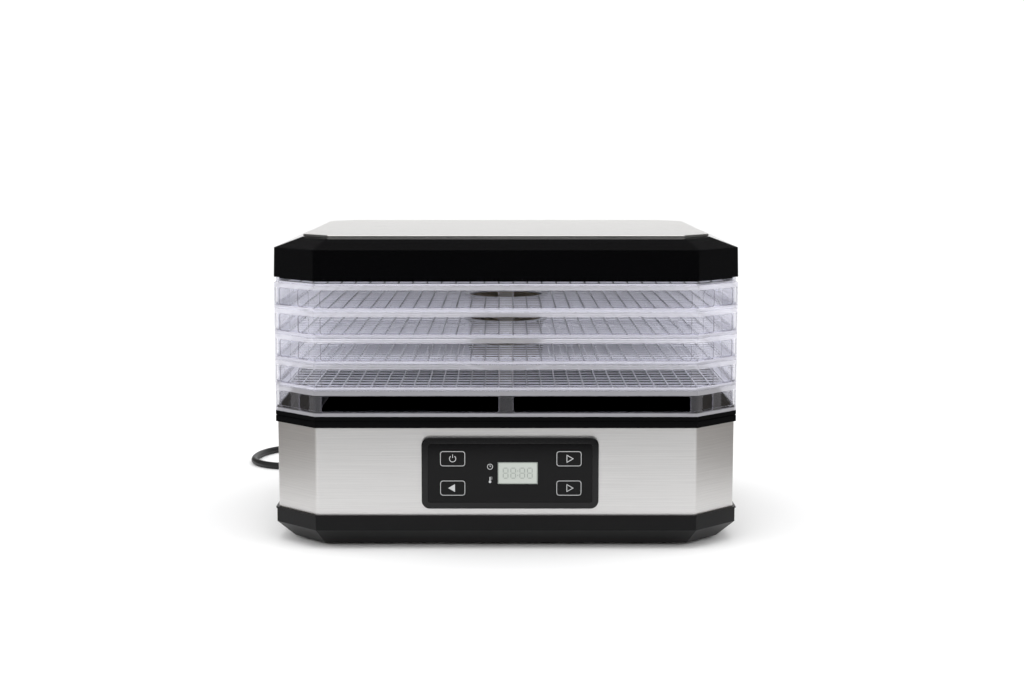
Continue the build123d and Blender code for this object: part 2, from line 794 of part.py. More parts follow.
notch_count = 8
notch_width = 5.0
notch_depth = 2.2
with BuildPart() as tray_collar:
    with BuildSketch(Plane.XZ):
        with BuildLine():
            Polyline((collar_top_radius, skirt_height),
                     (collar_end_radius, skirt_height - collar_drop),
                     (collar_end_radius - collar_wall, skirt_height - collar_drop),
                     (collar_top_radius - collar_wall, skirt_height),
                     close=True)
        make_face()
    revolve(axis=Axis.Z)
    with BuildSketch(Plane.XY.offset(skirt_height - collar_drop)):
        with PolarLocations(collar_end_radius, notch_count):
            Rectangle(4 * collar_wall, notch_width)
    extrude(amount=notch_depth, mode=Mode.SUBTRACT)

for level, tray_bottom in enumerate(tray_bottoms):
    number = tray_count - level
    lift = Pos(0, 0, tray_bottom)
    save(lift * tray_frame.part, f"tray_{number}_frame")
    save(lift * tray_mesh.part, f"tray_{number}_mesh")
    save(lift * tray_collar.part, f"tray_{number}_collar")

# ---------------------------------------------------------------- lid
lid_panel_inset = lid_bevel_inset + panel_overlap
lid_roof_top = lid_bevel_top - lid_recess
lid_roof_underside = lid_roof_top - lid_wall
panel_underside = lid_bevel_top + panel_rise
panel_post_points = [(sx * x, sy * (depth / 2 - 54.0)) for sx in (-1, 1) for sy in (-1, 1)
                     for x in (40.0, width / 2 - 48.0)]
vent_points = [(n * (width - 40.0) / 7.5, sy * (depth / 2 - 32.0))
               for sy in (-1, 1) for n in (-2.5, -1.5, -0.5, 0.5, 1.5, 2.5)]
with BuildPart() as lid_shell:
    with BuildSketch(Plane.XY.offset(lid_bottom)):
        add(octagon())
    with BuildSketch(Plane.XY.offset(lid_face_top)):
        add(octagon(lid_draft))
    loft()
    with BuildSketch(Plane.XY.offset(lid_face_top)):
        add(octagon(lid_draft))
    with BuildSketch(Plane.XY.offset(lid_bevel_top)):
        add(octagon(lid_bevel_inset))
    loft()
    with BuildSketch(Plane.XY.offset(lid_bottom)):
        add(octagon(mesh_inset))
    with BuildSketch(Plane.XY.offset(lid_face_top - lid_wall)):
        add(octagon(mesh_inset + lid_draft))
    loft(mode=Mode.SUBTRACT)
    with BuildSketch(Plane.XY.offset(lid_face_top - lid_wall)):
        add(octagon(mesh_inset + lid_draft))
    with BuildSketch(Plane.XY.offset(lid_roof_underside)):
        add(octagon(lid_bevel_inset))
    loft(mode=Mode.SUBTRACT)
    with BuildSketch(Plane.XY.offset(lid_bevel_top)):
        add(octagon(lid_bevel_inset + lid_wall))
    extrude(amount=-lid_recess, mode=Mode.SUBTRACT)
    with BuildSketch(Plane.XY.offset(lid_bottom)):
        add(octagon(mesh_inset + nest_gap))
        add(octagon(mesh_inset + nest_gap + lid_wall), mode=Mode.SUBTRACT)
    extrude(amount=-lid_rib_height)
    with BuildSketch(Plane.XY.offset(lid_bottom)):
        add(octagon(mesh_inset - lid_draft))
        add(octagon(mesh_inset + nest_gap + lid_wall), mode=Mode.SUBTRACT)
    extrude(amount=lid_wall)
    with BuildSketch(Plane.XY.offset(lid_roof_top)):
        with spots(panel_post_points):
            Circle(panel_post_radius)
    extrude(amount=panel_underside - lid_roof_top)
    with BuildSketch(Plane.XY.offset(panel_underside)):
        with spots(panel_post_points):
            Circle(screw_radius + screw_gap)
    extrude(amount=lid_roof_underside - panel_underside, mode=Mode.SUBTRACT)
    with BuildSketch(Plane.XY.offset(lid_roof_top)):
        with spots(vent_points):
            SlotOverall(vent_length, vent_width)
    extrude(amount=-lid_wall, mode=Mode.SUBTRACT)
save(lid_shell.part, "lid_shell")

# Pressed sheet panel with a turned-down rim and eight studs under it
panel_rim = 1.2
panel_rim_drop = 0.6
with BuildPart() as lid_panel:
    with BuildSketch(Plane.XY.offset(panel_underside)):
        add(octagon(lid_panel_inset))
    extrude(amount=panel_thickness)
    fillet(lid_panel.faces().sort_by(Axis.Z)[-1].edges(), 0.5)
    with BuildSketch(Plane.XY.offset(panel_underside)):
        add(octagon(lid_panel_inset))
        add(octagon(lid_panel_inset + panel_rim), mode=Mode.SUBTRACT)
    extrude(amount=-panel_rim_drop)
    with BuildSketch(Plane.XY.offset(panel_underside)):
        with spots(panel_post_points):
            Circle(screw_radius)
    extrude(amount=lid_roof_underside - 2.4 - panel_underside)
save(lid_panel.part, "lid_panel")

clip_radius = 5.0
clip_thickness = 1.0
with BuildPart() as panel_clips:
    with BuildSketch(Plane.XY.offset(lid_roof_underside)):
        with spots(panel_post_points):
            Circle(clip_radius)
        with spots(panel_post_points):
            Circle(screw_radius, mode=Mode.SUBTRACT)
    extrude(amount=-clip_thickness)
save(panel_clips.part, "panel_clips")

# ---------------------------------------------------------------- strain relief
relief_collar = 3.0
with BuildPart() as strain_relief:
    with BuildSketch(cord_plane):
        Circle(relief_radius)
    extrude(amount=-band_sheet - relief_collar)
    with BuildSketch(cord_plane.offset(-band_sheet - screw_gap)):
        Circle(relief_radius + relief_flange)
    extrude(amount=-relief_collar)
    with BuildSketch(cord_plane):
        Circle(relief_radius + relief_flange)
    extrude(amount=relief_collar)
    with BuildSketch(cord_plane.offset(relief_collar)):
        Circle(relief_radius)
    with BuildSketch(cord_plane.offset(relief_length)):
        Circle(relief_end_radius)
    loft()
save(strain_relief.part, "strain_relief")

# ---------------------------------------------------------------- power cord
relief_end_y = back_y + relief_length
cord_points = [
    (cord_exit_x, relief_end_y, cord_exit_z),
    (cord_exit_x, relief_end_y + 24.0, cord_exit_z),
    (-68.0, 216.0, 36.0),
    (-76.0, 236.0, 22.0),
    (-95.0, 249.0, 8.5),
    (-121.0, 249.0, 3.0),
    (-143.0, 231.0, 3.0),
    (-152.0, 205.0, 3.0),
    (-164.0, 181.0, 3.0),
    (-186.0, 166.0, 3.0),
    (-212.0, 168.0, 3.0),
    (-230.0, 187.0, 3.0),
    (-233.0, 214.0, 3.0),
    (-226.0, 242.0, 3.0),
    (-206.0, 262.0, 3.0),
    (-177.0, 274.0, 3.0),
    (-139.0, 280.0, 3.0),
    (-97.0, 283.0, 3.0),
    (-56.0, 279.0, 3.0),
    (-20.0, 270.0, 3.0),
]


def bend_radii(points):
    """Arc radius at each inner point of a route: as large as its two runs allow."""
    stops = [Vector(*point) for point in points]
    radii = []
    for before, here, after in zip(stops, stops[1:], stops[2:]):
        half_turn = radians((here - before).get_angle(after - here)) / 2
        shorter = min((here - before).length, (after - here).length)
        radii.append(0.45 * shorter / tan(half_turn))
    return radii


cord_radii = bend_radii(cord_points)
with BuildPart() as power_cord:
    with BuildLine() as cord_path:
        FilletPolyline(*cord_points, radius=cord_radii)
    with BuildSketch(Plane(origin=cord_points[0], x_dir=(1, 0, 0), z_dir=(0, 1, 0))):
        Circle(cord_diameter / 2)
    sweep(path=cord_path.line)
save(power_cord.part, "power_cord")
section_area = pi * (cord_diameter / 2) ** 2
print("cord radii", [round(radius, 1) for radius in cord_radii])
print("cord length", round(cord_path.wires()[0].length, 1),
      "volume over section", round(power_cord.part.volume / section_area, 1))

# The put-away length: a neat coil, a ring of round turns two wide and two high
coil_entry = Vector(*cord_points[-1])
coil_heading = (coil_entry - Vector(*cord_points[-2])).normalized()
coil_centre = (coil_entry.X + coil_heading.Y * coil_mean_radius,
               coil_entry.Y - coil_heading.X * coil_mean_radius)
coil_inner = coil_mean_radius - coil_section / 2
coil_outer = coil_mean_radius + coil_section / 2
with BuildPart() as cord_coil:
    with BuildSketch():
        with Locations(coil_centre):
            Circle(coil_outer)
            Circle(coil_inner, mode=Mode.SUBTRACT)
    extrude(amount=coil_section)
    fillet(cord_coil.edges(), 2.5)
save(cord_coil.part, "cord_coil")

# ---------------------------------------------------------------- plug
# Flat two-pin plug lying beside the coil, its tail towards the turns
plug_tail = (coil_centre[0] + 19.0, coil_centre[1] + coil_mean_radius)
plug_thickness = 14.0
plug_width = 35.0
plug_length = 36.0
plug_tail_length = 12.0
pin_radius = 2.0
pin_length = 19.0
pin_spacing = 19.0
plug_plane = Plane(origin=(plug_tail[0], plug_tail[1], plug_thickness / 2),
                   x_dir=(0, 1, 0), z_dir=(1, 0, 0))
with BuildPart() as plug_body:
    with BuildSketch(plug_plane):
        Circle(cord_diameter / 2 + 1.5)
    with BuildSketch(plug_plane.offset(plug_tail_length)):
        Circle(plug_thickness / 2 - 1.0)
    loft()
    with BuildSketch(plug_plane.offset(plug_tail_length)):
        SlotOverall(22.0, plug_thickness)
    with BuildSketch(plug_plane.offset(plug_tail_length + plug_length / 2)):
        SlotOverall(plug_width, plug_thickness)
    loft()
    with BuildSketch(plug_plane.offset(plug_tail_length + plug_length / 2)):
        SlotOverall(plug_width, plug_thickness)
    extrude(amount=plug_length / 2)
save(plug_body.part, "plug_body")

with BuildPart() as plug_pins:
    with BuildSketch(plug_plane.offset(plug_tail_length + plug_length)):
        with Locations((-pin_spacing / 2, 0), (pin_spacing / 2, 0)):
            Circle(pin_radius)
    extrude(amount=pin_length)
    fillet(plug_pins.faces().sort_by(Axis.X)[-2:].edges(), 1.0)
save(plug_pins.part, "plug_pins")
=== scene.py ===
from math import atan2, cos, pi, radians, sin

import bmesh
import bpy
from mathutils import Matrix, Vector


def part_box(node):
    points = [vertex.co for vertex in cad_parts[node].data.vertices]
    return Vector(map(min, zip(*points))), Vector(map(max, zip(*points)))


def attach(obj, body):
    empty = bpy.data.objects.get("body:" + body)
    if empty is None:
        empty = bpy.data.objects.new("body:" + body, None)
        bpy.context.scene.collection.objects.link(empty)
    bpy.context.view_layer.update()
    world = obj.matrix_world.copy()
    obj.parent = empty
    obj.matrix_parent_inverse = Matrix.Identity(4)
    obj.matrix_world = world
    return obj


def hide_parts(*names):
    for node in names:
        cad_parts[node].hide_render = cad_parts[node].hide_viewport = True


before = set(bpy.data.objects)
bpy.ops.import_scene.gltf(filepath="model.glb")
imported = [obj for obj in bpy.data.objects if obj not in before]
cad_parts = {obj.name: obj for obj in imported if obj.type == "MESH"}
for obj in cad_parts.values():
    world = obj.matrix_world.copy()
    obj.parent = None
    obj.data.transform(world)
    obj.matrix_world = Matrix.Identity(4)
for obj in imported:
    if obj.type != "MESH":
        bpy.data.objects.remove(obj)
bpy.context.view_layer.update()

# ------------------------------------------------------------------ studio
# A white studio: pale floor, even white air, soft lamps, and a few cards that only show as
# reflections, so that gloss black stays deep in front and lights up on its corner facets.
MM = 0.001


def colour(code):
    """Turn an sRGB hex value into linear red, green, blue and alpha."""
    parts = [int(code[at:at + 2], 16) / 255 for at in (0, 2, 4)]
    return [part / 12.92 if part <= 0.04045 else ((part + 0.055) / 1.055) ** 2.4
            for part in parts] + [1.0]


def add_node(tree, kind, values=None, links=None, **settings):
    """Add a shader node, set its properties and input values, and link its inputs."""
    new = tree.nodes.new(kind)
    for key, value in settings.items():
        setattr(new, key, value)
    for socket, value in (values or {}).items():
        new.inputs[socket].default_value = value
    for socket, source in (links or {}).items():
        tree.links.new(source, new.inputs[socket])
    return new


def new_material(name, values):
    """Start a material: one Principled shader with its even values on its own sockets."""
    made = bpy.data.materials.new(name)
    made.use_nodes = True
    shader = made.node_tree.nodes["Principled BSDF"]
    for socket, value in values.items():
        shader.inputs[socket].default_value = value
    return made, made.node_tree, shader


def deselect():
    """Leave edit mode and clear the selection."""
    if bpy.context.object and bpy.context.object.mode != "OBJECT":
        bpy.ops.object.mode_set(mode="OBJECT")
    bpy.ops.object.select_all(action="DESELECT")


def reflection_card(name, centre, size, turn, strength, tone="ffffff"):
    """A flat studio card, seen by reflections alone."""
    deselect()
    bpy.ops.mesh.primitive_plane_add(size=1, location=centre, rotation=turn)
    card = bpy.context.object
    card.name = name
    card.scale = (size[0], size[1], 1)
    made, tree, shader = new_material(name, {
        "Base Color": colour("000000"), "Specular IOR Level": 0.0,
        "Emission Color": colour(tone), "Emission Strength": strength})
    card.data.materials.append(made)
    card.visible_camera = False
    card.visible_diffuse = False
    card.visible_transmission = False
    card.visible_volume_scatter = False
    card.visible_shadow = False


deselect()
bpy.context.scene.view_settings.view_transform = "Standard"
air = bpy.data.worlds.new("studio_air")
air.use_nodes = True
air.node_tree.nodes["Background"].inputs["Color"].default_value = colour("ffffff")
air.node_tree.nodes["Background"].inputs["Strength"].default_value = 1.12
bpy.context.scene.world = air

bpy.ops.mesh.primitive_plane_add(size=16)
floor = bpy.context.object
floor.name = "floor"
floor_paint, tree, shader = new_material("matt_white_paper", {
    "Base Color": colour("f6f6f6"), "Roughness": 0.9, "Specular IOR Level": 0.1})
floor.data.materials.append(floor_paint)

flat = (0, 0, 0)
upright = (pi / 2, 0, 0)
sideways = (pi / 2, 0, pi / 2)
card_width = 5.0
reflection_card("dark_flag", (0, -1.62, 0.2), (card_width, 0.4), upright, 0.0)
reflection_card("table_flag", (0, -1.45, 0.002), (card_width, 1.8), flat, 0.0)
reflection_card("overhead_flag", (0, 1.5, 2.0), (card_width, 2.4), upright, 0.05)
side_distance = 0.37
side_length = 1.1
for side in (-1, 1):
    reflection_card("side_grey", (side * side_distance, 0.1, 0.075), (side_length, 0.15), sideways,
                    0.27, "fff8f2")
    reflection_card("side_flag", (side * side_distance, 0.1, 0.28), (side_length, 0.25), sideways, 0.06)

for name, place, size, energy in (("top_lamp", (0.0, -0.3, 2.1), 2.2, 11.0),
                                  ("left_lamp", (-1.9, -0.9, 1.4), 1.4, 7.0),
                                  ("right_lamp", (1.9, -0.9, 1.4), 1.4, 7.0)):
    lamp_data = bpy.data.lights.new(name, "AREA")
    lamp_data.shape = "SQUARE"
    lamp_data.size = size
    lamp_data.energy = energy
    lamp = bpy.data.objects.new(name, lamp_data)
    lamp.location = place
    aim = Vector((0, 0, 0.1)) - Vector(place)
    lamp.rotation_euler = aim.to_track_quat("-Z", "Y").to_euler()
    lamp.visible_camera = False
    bpy.context.collection.objects.link(lamp)

camera_data = bpy.data.cameras.new("camera")
camera_data.lens = 61.0
camera_data.sensor_width = 36.0
camera_data.shift_x = 0.0059
camera = bpy.data.objects.new("camera", camera_data)
camera.location = (0.0, -1.375, 0.297)
camera.rotation_euler = (radians(83.31), 0.0, 0.0)
bpy.context.collection.objects.link(camera)
bpy.context.scene.camera = camera

# ------------------------------------------------------------------ power cord
# Round two-core PVC lead, 6 mm thick. It drops from its boot at the back, lies in one loop
# beside the base, and its spare length is wound in three neat turns held by a strap.
cord_diameter = 6.0 * MM
cord_route = [
    (-66.0, 168.6, 42.0), (-66.0, 192.6, 42.0), (-68.0, 216.0, 36.0), (-76.0, 236.0, 22.0),
    (-95.0, 249.0, 8.5), (-121.0, 249.0, 3.0), (-143.0, 231.0, 3.0), (-152.0, 205.0, 3.0),
    (-164.0, 181.0, 3.0), (-186.0, 166.0, 3.0), (-212.0, 168.0, 3.0), (-230.0, 187.0, 3.0),
    (-233.0, 214.0, 3.0), (-226.0, 242.0, 3.0), (-206.0, 262.0, 3.0), (-177.0, 274.0, 3.0),
    (-139.0, 280.0, 3.0), (-97.0, 283.0, 3.0), (-56.0, 279.0, 3.0), (-20.0, 270.0, 3.0),
]
coil_low, coil_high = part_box("cord_coil")
coil_centre = (coil_low + coil_high) / 2
plug_low, plug_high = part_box("plug_body")
points_per_turn = 16
coil_points = 47
into_coil = Vector(cord_route[-1]) * MM - coil_centre
coil_start = atan2(into_coil.y, into_coil.x)
# Radius and height at the end of each turn: outer, inner, then on top of the two
coil_middle = 33.0
turn_radii = (coil_middle, coil_middle + 3.0, coil_middle - 2.4, coil_middle)
turn_heights = (3.0, 3.0, 3.2, 9.0)
for step in range(1, coil_points + 1):
    turn = step / points_per_turn
    whole = min(int(turn), len(turn_radii) - 2)
    share = turn - whole
    radius = (turn_radii[whole] * (1 - share) + turn_radii[whole + 1] * share) * MM
    height = turn_heights[whole] * (1 - share) + turn_heights[whole + 1] * share
    angle = coil_start - 2 * pi * turn
    cord_route.append(((coil_centre.x + radius * cos(angle)) / MM,
                       (coil_centre.y + radius * sin(angle)) / MM, height))
plug_axis = ((plug_low + plug_high) / 2).xyz / MM
# The last stretch runs straight into the plug
for before, height in ((24.0, 8.6), (12.0, plug_axis.z + 0.3), (-4.0, plug_axis.z)):
    cord_route.append((plug_low.x / MM - before, plug_axis.y, height))

cord_line = bpy.data.curves.new("mains_cord", "CURVE")
cord_line.dimensions = "3D"
cord_line.bevel_depth = cord_diameter / 2
cord_line.bevel_resolution = 6
cord_line.resolution_u = 8
spline = cord_line.splines.new("NURBS")
spline.points.add(len(cord_route) - 1)
for point, place in zip(spline.points, cord_route):
    point.co = (place[0] * MM, place[1] * MM, place[2] * MM, 1.0)
spline.order_u = 3
spline.use_endpoint_u = True
mains_cord = bpy.data.objects.new("mains_cord", cord_line)
bpy.context.collection.objects.link(mains_cord)

# Extruded PVC sheath: satin black, with faint long waves left by the die
pvc_sheath, tree, shader = new_material("extruded_pvc_sheath", {
    "Base Color": colour("141415"), "Roughness": 0.42, "Specular IOR Level": 0.45})
place = add_node(tree, "ShaderNodeTexCoord").outputs["Object"]
waves = add_node(tree, "ShaderNodeTexNoise", {"Scale": 1 / (9.0 * MM), "Detail": 3.0},
                 {"Vector": place})
bump = add_node(tree, "ShaderNodeBump", {"Strength": 0.25, "Distance": 0.1 * MM},
                {"Height": waves.outputs["Fac"]})
rough = add_node(tree, "ShaderNodeMapRange", {"To Min": 0.36, "To Max": 0.5},
                 {"Value": waves.outputs["Fac"]})
tree.links.new(bump.outputs["Normal"], shader.inputs["Normal"])
tree.links.new(rough.outputs["Result"], shader.inputs["Roughness"])
cord_line.materials.append(pvc_sheath)
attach(mains_cord, "base")
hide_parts("power_cord", "cord_coil")

# ------------------------------------------------------------------ cord strap
# Hook-and-loop strap that holds the put-away turns, woven nylon, closed round the coil.
strap_width = 9.0 * MM
strap_sheet = 0.6 * MM
strap_corner = 3.4 * MM
strap_depth = coil_high.x - coil_low.x - 2 * coil_middle * MM + 1.6 * MM
deselect()
bpy.ops.mesh.primitive_cube_add(size=1, location=(0, 0, 0))
strap = bpy.context.object
strap.name = "cord_strap"
strap.scale = (strap_width, strap_depth, coil_high.z + 0.2 * MM)
bpy.ops.object.transform_apply(location=False, rotation=False, scale=True)
bpy.ops.object.mode_set(mode="EDIT")
bpy.ops.mesh.select_all(action="DESELECT")
strap_mesh = bmesh.from_edit_mesh(strap.data)
for face in strap_mesh.faces:
    face.select = abs(face.normal.x) > 0.9
bmesh.update_edit_mesh(strap.data)
bpy.ops.mesh.delete(type="FACE")
bpy.ops.mesh.select_all(action="DESELECT")
for edge in strap_mesh.edges:
    ends = [vertex.co for vertex in edge.verts]
    edge.select = abs(ends[0].x - ends[1].x) > strap_width / 2
bmesh.update_edit_mesh(strap.data)
bpy.ops.mesh.bevel(offset=strap_corner, segments=5, affect="EDGES")
bpy.ops.object.mode_set(mode="OBJECT")
strap.location = (coil_centre.x, coil_centre.y - coil_middle * MM, coil_high.z / 2 + 0.4 * MM)
bpy.ops.object.transform_apply(location=True, rotation=False, scale=False)
thicken = strap.modifiers.new("sheet", "SOLIDIFY")
thicken.thickness = strap_sheet
thicken.offset = 0
bpy.ops.object.modifier_apply(modifier="sheet")
bpy.ops.object.shade_smooth_by_angle(angle=radians(40))

# Woven nylon: dark grey. Its diagonal ribs, under a millimetre apart on a real strap, are drawn
# coarser so that they show. A diagonal wave texture of scale 1 repeats every pi / 5 metres.
rib_pitch = 3.2 * MM
woven_nylon, tree, shader = new_material("woven_nylon", {
    "Base Color": colour("1c1c1e"), "Roughness": 0.8})
place = add_node(tree, "ShaderNodeTexCoord").outputs["Object"]
threads = add_node(tree, "ShaderNodeTexWave", {"Scale": pi / (5 * rib_pitch), "Distortion": 0.4},
                   {"Vector": place}, bands_direction="DIAGONAL")
bump = add_node(tree, "ShaderNodeBump", {"Strength": 0.6, "Distance": 0.15 * MM},
                {"Height": threads.outputs["Fac"]})
tree.links.new(bump.outputs["Normal"], shader.inputs["Normal"])
strap.data.materials.append(woven_nylon)
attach(strap, "base")

# ------------------------------------------------------------------ moulded black shells
# Plinth, deck and lid are injection moulded black ABS. The lid is polished, the deck is
# dull, the plinth is satin; every outer edge keeps the small radius of its mould.
gloss_drift = 45.0 * MM


def moulded_texture(tree, shader, grain, depth, low, high):
    """Moulded skin, in metres: a fine grain as bump and a slow drift of gloss.

    Gives back the object coordinates and the drift, for patterns that follow them."""
    place = add_node(tree, "ShaderNodeTexCoord").outputs["Object"]
    skin = add_node(tree, "ShaderNodeTexNoise", {"Scale": 1 / grain, "Detail": 4.0, "Roughness": 0.6},
                    {"Vector": place})
    drift = add_node(tree, "ShaderNodeTexNoise", {"Scale": 1 / gloss_drift, "Detail": 2.0},
                     {"Vector": place})
    bump = add_node(tree, "ShaderNodeBump", {"Strength": 0.5, "Distance": depth},
                    {"Height": skin.outputs["Fac"]})
    rough = add_node(tree, "ShaderNodeMapRange", {"To Min": low, "To Max": high},
                     {"Value": drift.outputs["Fac"]})
    tree.links.new(bump.outputs["Normal"], shader.inputs["Normal"])
    tree.links.new(rough.outputs["Result"], shader.inputs["Roughness"])
    return place, drift


def soften(name, body, made, width, segments=2, turn=30.0):
    """Stand a copy of a moulding in for it, with its sharp edges rounded."""
    deselect()
    copy = bpy.data.objects.new(f"{name}_moulding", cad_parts[name].data.copy())
    bpy.context.collection.objects.link(copy)
    copy.select_set(True)
    bpy.context.view_layer.objects.active = copy
    bpy.ops.object.mode_set(mode="EDIT")
    bpy.ops.mesh.select_all(action="SELECT")
    bpy.ops.mesh.remove_doubles(threshold=0.002 * MM)
    bpy.ops.mesh.dissolve_limited(angle_limit=radians(0.5))
    bpy.ops.object.mode_set(mode="OBJECT")
    rounding = copy.modifiers.new("rounding", "BEVEL")
    rounding.width = width
    rounding.segments = segments
    rounding.limit_method = "ANGLE"
    rounding.angle_limit = radians(turn)
    rounding.miter_outer = "MITER_ARC"
    rounding.use_clamp_overlap = True
    bpy.ops.object.modifier_apply(modifier="rounding")
    bpy.ops.object.shade_smooth_by_angle(angle=radians(35))
    flatten = copy.modifiers.new("flat_faces", "WEIGHTED_NORMAL")
    flatten.keep_sharp = True
    flatten.weight = 100
    bpy.ops.object.modifier_apply(modifier="flat_faces")
    copy.data.materials.clear()
    copy.data.materials.append(made)
    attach(copy, body)
    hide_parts(name)
    return copy


# Satin black ABS: moulded with a fine spark texture of about 0.3 mm, drawn at 0.5 mm
satin_abs, tree, shader = new_material("satin_black_abs", {
    "Base Color": colour("0b0b0c"), "Roughness": 0.34, "Specular IOR Level": 0.16})
moulded_texture(tree, shader, 0.5 * MM, 0.02 * MM, 0.28, 0.4)
# Gloss black ABS: polished mould, with a barely visible flow waviness
gloss_abs, tree, shader = new_material("gloss_black_abs", {
    "Base Color": colour("060607"), "Roughness": 0.09, "Specular IOR Level": 0.45})
moulded_texture(tree, shader, 14.0 * MM, 0.02 * MM, 0.07, 0.12)
soften("bottom_cover", "base", satin_abs, 0.7 * MM, 3)
# The deck lies flat under the trays: same plastic, left with a low sheen
deck_abs, tree, shader = new_material("low_sheen_black_abs", {
    "Base Color": colour("060607"), "Roughness": 0.6, "Specular IOR Level": 0.04})
moulded_texture(tree, shader, 0.6 * MM, 0.01 * MM, 0.55, 0.65)
soften("deck", "base", deck_abs, 0.4 * MM)
soften("lid_shell", "lid", gloss_abs, 1.0 * MM, 4, 15.0)

# ------------------------------------------------------------------ steel band
# Stainless sheet rolled round the base, brushed level with the worktop, bent at the corners.
def brushed_lines(tree, shader, stretch, tones, gloss, depth):
    """Brush lines: a noise drawn out along the sheet, in its tone, roughness and bump."""
    place = add_node(tree, "ShaderNodeTexCoord").outputs["Object"]
    drawn_out = add_node(tree, "ShaderNodeMapping", {"Scale": [1 / length for length in stretch]},
                         {"Vector": place})
    lines = add_node(tree, "ShaderNodeTexNoise", {"Scale": 1.0, "Detail": 3.0, "Roughness": 0.7},
                     {"Vector": drawn_out.outputs["Vector"]})
    tone = add_node(tree, "ShaderNodeMix", {"A": colour(tones[0]), "B": colour(tones[1])},
                    {"Factor": lines.outputs["Fac"]}, data_type="RGBA")
    rough = add_node(tree, "ShaderNodeMapRange", {"To Min": gloss[0], "To Max": gloss[1]},
                     {"Value": lines.outputs["Fac"]})
    bump = add_node(tree, "ShaderNodeBump", {"Strength": depth, "Distance": 0.02 * MM},
                    {"Height": lines.outputs["Fac"]})
    tree.links.new(tone.outputs["Result"], shader.inputs["Base Color"])
    tree.links.new(rough.outputs["Result"], shader.inputs["Roughness"])
    tree.links.new(bump.outputs["Normal"], shader.inputs["Normal"])


# Brush lines are about 0.25 mm apart, drawn at 0.45 mm so that they show, and centimetres long
brush_line = 0.45 * MM
brushed_steel, tree, shader = new_material("brushed_stainless", {
    "Base Color": colour("e0dfde"), "Metallic": 1.0, "Roughness": 0.3, "Anisotropic": 0.6,
    "Anisotropic Rotation": 0.25})
brushed_lines(tree, shader, (60 * MM, 60 * MM, brush_line), ("cfcecd", "efeeed"), (0.24, 0.4), 0.25)
along = add_node(tree, "ShaderNodeTangent", direction_type="RADIAL", axis="Z")
tree.links.new(along.outputs["Tangent"], shader.inputs["Tangent"])
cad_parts["steel_band"].material_slots[0].material = brushed_steel

# ------------------------------------------------------------------ rubber feet
# Four soft feet pressed into the plinth, black rubber with a dusty matt face.
foot_rubber, tree, shader = new_material("moulded_rubber", {
    "Base Color": colour("1a1a1a"), "Roughness": 0.85})
moulded_texture(tree, shader, 0.6 * MM, 0.05 * MM, 0.78, 0.92)
soften("rubber_feet", "base", foot_rubber, 0.4 * MM)

# ------------------------------------------------------------------ control panel frame and overlay
# A raised ABS frame clips through the steel; a gloss overlay fills it round display and keys.
panel_abs, tree, shader = new_material("gloss_panel_abs", {
    "Base Color": colour("060607"), "Roughness": 0.14, "Specular IOR Level": 0.3})
moulded_texture(tree, shader, 12.0 * MM, 0.02 * MM, 0.12, 0.2)
soften("control_bezel", "base", panel_abs, 0.35 * MM, 3)
overlay_film, tree, shader = new_material("gloss_overlay_film", {
    "Base Color": colour("060607"), "Roughness": 0.1, "Specular IOR Level": 0.16})
moulded_texture(tree, shader, 9.0 * MM, 0.02 * MM, 0.08, 0.13)
for name in ("control_overlay", "key_power", "key_down", "key_up", "key_timer"):
    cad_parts[name].material_slots[0].material = overlay_film

# ------------------------------------------------------------------ printed marks
# Screen-printed light grey ink, on each key and beside the display: outlines, a power
# symbol, arrows, a clock and a thermometer. Each print rides with what carries it.
ink_line = 0.42 * MM
ink_height = 0.05 * MM
ink_gap = 0.01 * MM
symbol_line = 0.5 * MM
outline_margin = 0.3 * MM
print_ink, tree, shader = new_material("screen_print_ink", {
    "Base Color": colour("b9babb"), "Roughness": 0.55})
moulded_texture(tree, shader, 0.5 * MM, 0.01 * MM, 0.5, 0.6)


def cut_face():
    """Delete the faces that are selected in edit mode and go back to object mode."""
    bpy.ops.mesh.delete(type="FACE")
    bpy.ops.object.mode_set(mode="OBJECT")


def rounded_outline(size, corner, line, segments=6):
    """Flat outline of a rounded oblong, lying at the origin."""
    deselect()
    bpy.ops.mesh.primitive_plane_add(size=1)
    shape = bpy.context.object
    shape.scale = (size[0], size[1], 1)
    bpy.ops.object.transform_apply(location=False, rotation=False, scale=True)
    bpy.ops.object.mode_set(mode="EDIT")
    bpy.ops.mesh.select_all(action="SELECT")
    bpy.ops.mesh.bevel(offset=corner, segments=segments, affect="VERTICES")
    bpy.ops.mesh.select_all(action="SELECT")
    bpy.ops.mesh.inset(thickness=line)
    cut_face()
    return shape


def arrow_head(radius, way, line=None):
    """Flat triangle pointing left or right, filled or as an outline."""
    deselect()
    bpy.ops.mesh.primitive_circle_add(vertices=3, radius=radius, fill_type="NGON",
                                      rotation=(0, 0, -way * pi / 2))
    shape = bpy.context.object
    bpy.ops.object.transform_apply(location=False, rotation=True, scale=False)
    bpy.ops.object.mode_set(mode="EDIT")
    bpy.ops.mesh.select_all(action="SELECT")
    bpy.ops.mesh.bevel(offset=0.25 * MM, segments=3, affect="VERTICES")
    if line:
        bpy.ops.mesh.select_all(action="SELECT")
        bpy.ops.mesh.inset(thickness=line)
        bpy.ops.mesh.delete(type="FACE")
    bpy.ops.object.mode_set(mode="OBJECT")
    return shape


